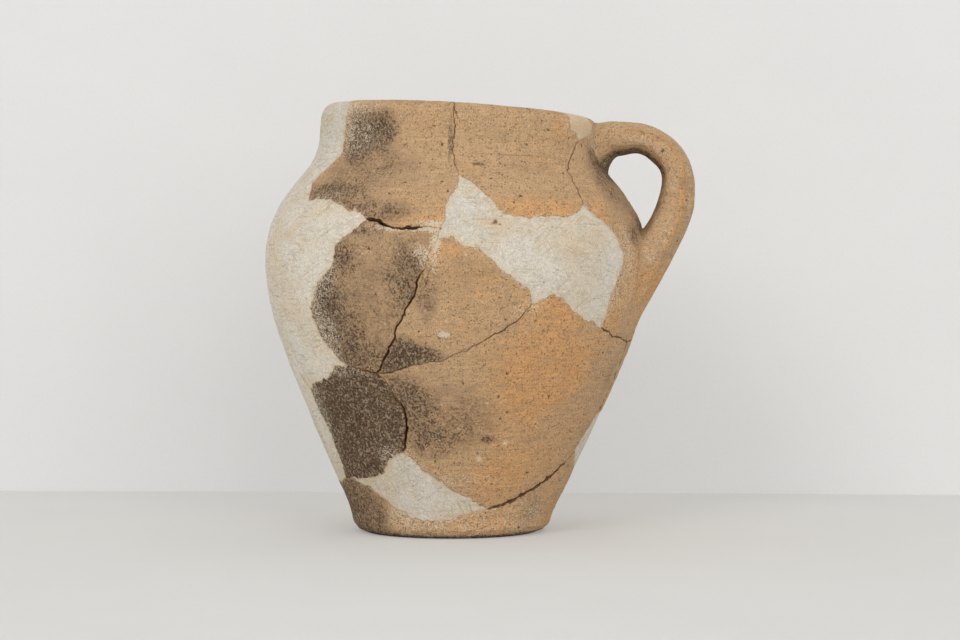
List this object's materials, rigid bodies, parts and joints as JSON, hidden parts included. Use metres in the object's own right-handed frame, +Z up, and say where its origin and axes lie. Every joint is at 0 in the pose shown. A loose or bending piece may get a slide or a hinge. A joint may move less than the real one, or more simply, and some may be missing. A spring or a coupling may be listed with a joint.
{
  "type": "cracked mug",
  "caption": "Mended earthenware mug with a swelling belly, short neck and loop handle; cracked sherds rejoined, the lost areas filled with pale plaster.",
  "frame": {"origin": "centre of the foot's resting face", "axes": "+Z up; the cracked side faces -Y; the handle stands out toward +X, turned 5 degrees toward -Y"},
  "size_m": [0.1468, 0.1298, 0.1439],
  "materials": {
    "sherd": "dry unglazed earthenware, sandy",
    "sherd_sooty": "dry unglazed earthenware, sooted",
    "sherd_black": "dry unglazed earthenware, blackened",
    "plaster": "dry rubbed plaster"
  },
  "bodies": {
    "root": {"rim_sherd_left": "sherd_sooty", "rim_sherd_middle": "sherd", "handle_sherd": "sherd", "body_sherd_left": "sherd_sooty", "body_sherd_middle": "sherd", "lower_sherd_right": "sherd", "lower_sherd_left": "sherd_black", "base_sherd": "sherd", "back_sherd": "sherd", "fill_left": "plaster", "fill_shoulder": "plaster", "fill_foot": "plaster", "fill_right": "plaster", "fill_rim_patch": "plaster"}
  },
  "joints": []
}
